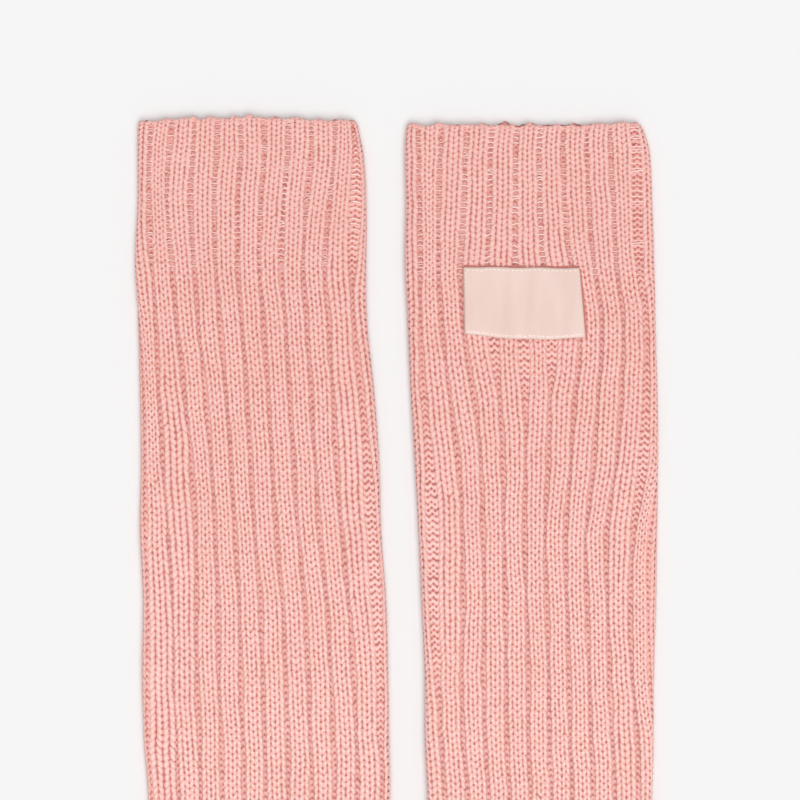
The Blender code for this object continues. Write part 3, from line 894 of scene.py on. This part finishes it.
def principled(name, surface):
    """A new material, with its node tree and its shader, whose own inputs are set."""
    material = bpy.data.materials.new(name)
    material.use_nodes = True
    tree = material.node_tree
    shader = tree.nodes["Principled BSDF"]
    for label, value in surface.items():
        shader.inputs[label].default_value = value
    return material, tree, shader


def add_node(tree, kind, inputs):
    """A new node. Each of its inputs gets a value, a colour or a link from another node's socket."""
    node = tree.nodes.new("ShaderNode" + kind)
    for label, value in inputs.items():
        if isinstance(value, bpy.types.NodeSocket):
            tree.links.new(value, node.inputs[label])
        else:
            node.inputs[label].default_value = value
    return node


def mix_colors(tree, factor, first, second, blend="MIX"):
    """A colour mix node. Each colour is a socket or a value."""
    first, second = (color if hasattr(color, "links") else (*color, 1.0) for color in (first, second))
    node = add_node(tree, "Mix", {0: factor, 6: first, 7: second})
    node.data_type = "RGBA"
    node.blend_type = blend
    return node.outputs[2]


def own_place(tree):
    """A point's place in the object's own coordinates."""
    return add_node(tree, "TexCoord", {}).outputs["Object"]


def noise(tree, scale, detail, stretch=None):
    """A noise value in the object's own coordinates, which may be stretched."""
    place = own_place(tree)
    if stretch:
        place = add_node(tree, "Mapping", {"Vector": place, "Scale": stretch}).outputs["Vector"]
    return add_node(tree, "TexNoise", {"Vector": place, "Scale": scale, "Detail": detail}).outputs["Fac"]


def ranged(tree, socket, span, most=1.0):
    """A value brought from a span to the range from 0 to the most."""
    ends = {"From Min": span[0], "From Max": span[1], "To Min": 0.0, "To Max": most}
    return add_node(tree, "MapRange", {"Value": socket, **ends}).outputs["Result"]


def value_of(tree, name, span, most=1.0):
    """A mesh's own named value, brought to a range."""
    source = add_node(tree, "Attribute", {})
    source.attribute_name = name
    return ranged(tree, source.outputs["Fac"], span, most)


def noisy(tree, pattern, first, second):
    """Two colours mixed by a pattern of noise."""
    *look, span, most = pattern
    return mix_colors(tree, ranged(tree, noise(tree, *look), span, most), first, second)


def add_bump(tree, shader, height, strength, distance):
    """A bump of this height on a shader."""
    node = add_node(tree, "Bump", {"Strength": strength, "Distance": distance, "Height": height})
    tree.links.new(node.outputs["Normal"], shader.inputs["Normal"])


def color_with_top_shade(tree, shader, color):
    """Gives a shader the cloth's colour, with painted shade that darkens it towards the top bands as a falloff
    of the light.
    """
    split = add_node(tree, "SeparateXYZ", {"Vector": own_place(tree)})
    share = ranged(tree, split.outputs["Y"], (NO_SHADE_BELOW * MM, FULL_SHADE_ABOVE * MM))
    tree.links.new(mix_colors(tree, share, color, TOP_SHADE, "MULTIPLY"), shader.inputs["Base Color"])


def yarn_material():
    """Soft plied yarn with a fine uneven nap and painted light: paler along its crests as a painted highlight,
    deeper pink where it sinks as painted shade, and dark painted shade in its holes.
    """
    material, tree, shader = principled("yarn", YARN_SURFACE)
    color = mix_colors(tree, value_of(tree, "lit", LIT_SPAN), YARN_SHADE, YARN)
    color = mix_colors(tree, value_of(tree, "lit", HOLE_SHADE_SPAN), YARN_HOLE_SHADE, color)
    color = mix_colors(tree, value_of(tree, "tint", TINT_SPAN, TINT_MOST), color, YARN_PALE)
    color = mix_colors(tree, value_of(tree, "tint", BAND_SPAN, BAND_MOST), color, BAND_YARN)
    color = noisy(tree, PATCHES, color, YARN_PATCH)
    color_with_top_shade(tree, shader, noisy(tree, GRAIN, color, YARN_GRAIN))
    add_bump(tree, shader, noise(tree, *NAP), *NAP_BUMP)
    return material


def shell_material():
    """The cloth seen between the stitches, in the yarn's shaded colour."""
    material, tree, shader = principled("cloth_behind", SHELL_SURFACE)
    color_with_top_shade(tree, shader, noisy(tree, MOTTLE, SHADED_SHELL, YARN_SHADE))
    add_bump(tree, shader, noise(tree, *ROUGH), *ROUGH_BUMP)
    return material


def thread_material(name, color, pale, surface):
    """A fine plain thread, paler where its own value says so."""
    material, tree, shader = principled(name, surface)
    mix = mix_colors(tree, value_of(tree, "lit", (0.0, 1.0)), color, pale)
    tree.links.new(mix, shader.inputs["Base Color"])
    return material


def satin_material():
    """Woven satin ribbon: fine threads along it, a soft sheen, faint uneven shading."""
    material, tree, shader = principled("satin", SATIN_SURFACE)
    tree.links.new(noisy(tree, SATIN_SHADING, SATIN, SATIN_SHADE), shader.inputs["Base Color"])
    weave = add_node(
        tree, "TexWave", {"Vector": own_place(tree), "Scale": WEAVE_SCALE, "Distortion": WEAVE_DISTORTION}
    )
    weave.wave_type = "BANDS"
    weave.bands_direction = "Y"
    add_bump(tree, shader, weave.outputs["Fac"], *WEAVE_BUMP)
    return material


def label_place(across, low, inset):
    """A point on the label, this far across and down it from 0 to 1, over the tube's crests."""
    corners = (LABEL_TOP_LEFT, LABEL_TOP_RIGHT, LABEL_BOTTOM_LEFT, LABEL_BOTTOM_RIGHT)
    x, down = (
        mixed(mixed(first, second, across), mixed(third, fourth, across), low)
        for first, second, third, fourth in zip(*corners)
    )
    turns, slant = LABEL_WAVE_TURNS
    down = down + LABEL_BOW * low * 4 * across * (1 - across)
    down = down + LABEL_WAVE * np.sin(turns * across + slant * low)
    return np.stack([x, OVERALL_LENGTH / 2 - down, np.broadcast_to(HEIGHT - inset, x.shape)], axis=-1)


def make_label(material, thread):
    """The satin label with turned edges, and the stitches that hold it."""
    columns, rows = LABEL_GRID
    across, low = np.meshgrid(np.linspace(0, 1, columns), np.linspace(0, 1, rows), indexing="ij")
    width, height = LABEL_SIZE
    edge = np.minimum(np.minimum(across, 1 - across) * width, np.minimum(low, 1 - low) * height)
    ripple = RIPPLE_HEIGHT * np.sin(2 * np.pi * across * RIPPLES + RIPPLE_PHASE + RIPPLE_SLANT * low)
    ripple *= bump(low - RIPPLE_MIDDLE, RIPPLE_REACH)
    turned = TURNED_DROP * (1 - np.clip(edge / TURNED_WIDTH, 0, 1)) ** 2
    groove = GROOVE_DEPTH * np.exp(-((edge - GROOVE_IN) / GROOVE_WIDTH) ** 2)
    upper = label_place(across, low, turned + groove - ripple - LABEL_TOP)
    lower = label_place(across, low, np.full(low.shape, -LABEL_CLEARANCE))
    points = np.concatenate([upper.reshape(-1, 3), lower.reshape(-1, 3)])
    grid = np.arange(columns * rows).reshape(columns, rows)
    faces = split_quads(grid[:-1, :-1], grid[:-1, 1:], grid[1:, 1:], grid[1:, :-1])
    ring = np.concatenate([grid[:-1, 0], grid[-1, :-1], grid[:0:-1, -1], grid[0, :0:-1]])
    after = np.roll(ring, -1)
    sides = split_quads(ring, after, after + grid.size, ring + grid.size)
    triangles = np.concatenate([faces, faces[:, ::-1] + grid.size, sides])
    cloth = add_mesh("label_satin", points, triangles, material, "label_satin")
    starts, ends, sizes = [], [], []
    for begin, finish, number, slant, size in SEWING:
        begin, finish = np.array(begin), np.array(finish)
        for step in range(number):
            loose = SEWING_JITTER * rng.standard_normal(2)
            starts.append(mixed(begin, finish, (step + SEWN_FROM) / number) + loose)
            ends.append(mixed(begin, finish, (step + SEWN_TO) / number) + loose + np.array([0.0, slant]))
            sizes.append(size)
    starts, ends = np.array(starts) * LABEL_SIZE, np.array(ends) * LABEL_SIZE
    low, across, inset, _ = leaves(
        starts, ends, np.array(sizes), np.full(len(sizes), SEWING_HEIGHT),
        np.full(len(sizes), -LABEL_TOP - SEWING_TOP), SEWING_SHAPE,
    )
    points = label_place(across / width, low / height, inset)
    triangles = leaf_triangles(len(SEWING_SHAPE) - 2, LEG_POINTS)
    return cloth, add_bits("label_stitches", points, triangles, thread, "label_satin")


def label_edge_shadow(tube, material):
    """Painted shadow: a dotted dark line just outside the label's upper and right edges."""
    places = []
    for begin, finish, aside in (
        (LABEL_TOP_LEFT, LABEL_TOP_RIGHT, (0.0, -EDGE_SHADOW_RISE)),
        (LABEL_TOP_RIGHT, LABEL_BOTTOM_RIGHT, (EDGE_SHADOW_RISE, 0.0)),
    ):
        share = np.arange(0.5, math.dist(begin, finish), EDGE_SHADOW_STEP)[:, None] / math.dist(begin, finish)
        places.append(mixed(np.array(begin), np.array(finish), share) + np.array(aside))
    x, down = np.concatenate(places).T
    left = np.interp(down, tube.downs, tube.left)
    distance = FOLD_QUARTER + x - left - FOLD
    dark = np.clip(EDGE_SHADOW_DARK + jitter(GAP_HOLE_JITTER, len(x)), *GAP_HOLE_RANGE)
    return shade_dots(tube, "label_edge_shadow", distance, down, np.full(len(x), HOLE_DEPTH), dark, material)


def make_tube(tube, yarn, behind, elastic, pale_gaps):
    """One leg warmer, as a shell with all its yarn on it."""
    side = tube.side
    cloth = shell(tube, f"{side}_cloth", behind)
    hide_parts(f"{side}_tube")
    downs, pitches = tube.rows()
    band = downs < tube.top + BAND_LENGTH
    parts = []
    front, under = np.arange(LAST_FRONT_GAP), np.arange(LAST_FRONT_GAP, RIBS)
    for name, chosen in (("band", band), ("leg", ~band)):
        rows = downs[chosen], pitches[chosen]
        for layer, ribs, shape, across in (
            ("front", front, LEG_SHAPE, LEG_POINTS), ("under", under, UNDER_LEG_SHAPE, UNDER_LEG_POINTS)
        ):
            parts.append(knit_legs(tube, f"{side}_{name}_{layer}_knit", ribs, rows, shape, across, yarn))
    rows = downs, pitches
    parts.append(stitch_hole_shade(tube, f"{side}_front_hole_shade", front, rows, yarn))
    parts += purl_bumps(tube, f"{side}_front_purl", np.arange(LAST_FRONT_GAP + 1), rows, PURL_STATIONS, yarn)
    parts += purl_bumps(tube, f"{side}_under_purl", under[1:], rows, UNDER_STATIONS, yarn)
    parts.append(elastic_threads(tube, f"{side}_elastic", pale_gaps, rows, elastic))
    if side == "left":
        parts.append(bold_threads(tube, f"{side}_bold_elastic", rows, elastic))
    parts.append(fuzz(tube, f"{side}_fuzz", elastic))
    parts.append(rim_chain(tube, f"{side}_top_rim", True, yarn))
    parts.append(rim_chain(tube, f"{side}_bottom_rim", False, yarn))
    girth = 2 * float(np.mean(tube.front_length(tube.left, tube.right))) * MM


def make_light_and_camera():
    """A pale floor, an even sky, a soft sun from the lower right, one overhead, and the photo's camera."""
    bpy.ops.mesh.primitive_plane_add(size=FLOOR_WIDTH * MM, location=(0, 0, -FLOOR_DROP * MM))
    floor = bpy.context.object
    floor.name = "floor"
    floor.data.materials.append(principled("floor", FLOOR_SURFACE)[0])

    world = bpy.data.worlds.new("studio")
    world.use_nodes = True
    background = world.node_tree.nodes["Background"]
    background.inputs["Color"].default_value = (1, 1, 1, 1)
    background.inputs["Strength"].default_value = SKY
    scene = bpy.context.scene
    scene.world = world

    for name, energy, angle, turns in SUNS:
        sun = bpy.data.lights.new(name, "SUN")
        sun.energy = energy
        sun.angle = math.radians(angle)
        light = bpy.data.objects.new(name, sun)
        light.rotation_euler = (*np.radians(turns), 0)
        scene.collection.objects.link(light)

    camera = bpy.data.cameras.new("camera")
    camera.sensor_width = SENSOR
    camera.lens = SENSOR * (CAMERA_HEIGHT - HEIGHT) / VIEW_WIDTH
    eye = bpy.data.objects.new("camera", camera)
    eye.location = (VIEW_CENTRE[0] * MM, VIEW_CENTRE[1] * MM, CAMERA_HEIGHT * MM)
    scene.collection.objects.link(eye)
    scene.camera = eye
    scene.view_settings.view_transform = "Standard"


def main():
    make_light_and_camera()
    yarn, behind = yarn_material(), shell_material()
    elastic = thread_material("elastic_thread", ELASTIC, PALE_ELASTIC, ELASTIC_SURFACE)
    sewing = thread_material("sewing_thread", THREAD, THREAD, THREAD_SURFACE)
    left = Tube("left", LEFT_TUBE, LEFT_OPENINGS, {}, LEFT_TOP_EDGE, 11)
    right = Tube("right", RIGHT_TUBE, RIGHT_OPENINGS, LABEL_PULL, RIGHT_TOP_EDGE, 23)
    make_tube(left, yarn, behind, elastic, LEFT_PALE_GAPS)
    make_tube(right, yarn, behind, elastic, RIGHT_PALE_GAPS)
    label_edge_shadow(right, yarn)
    label, stitches = make_label(satin_material(), sewing)
    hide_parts("label")


main()
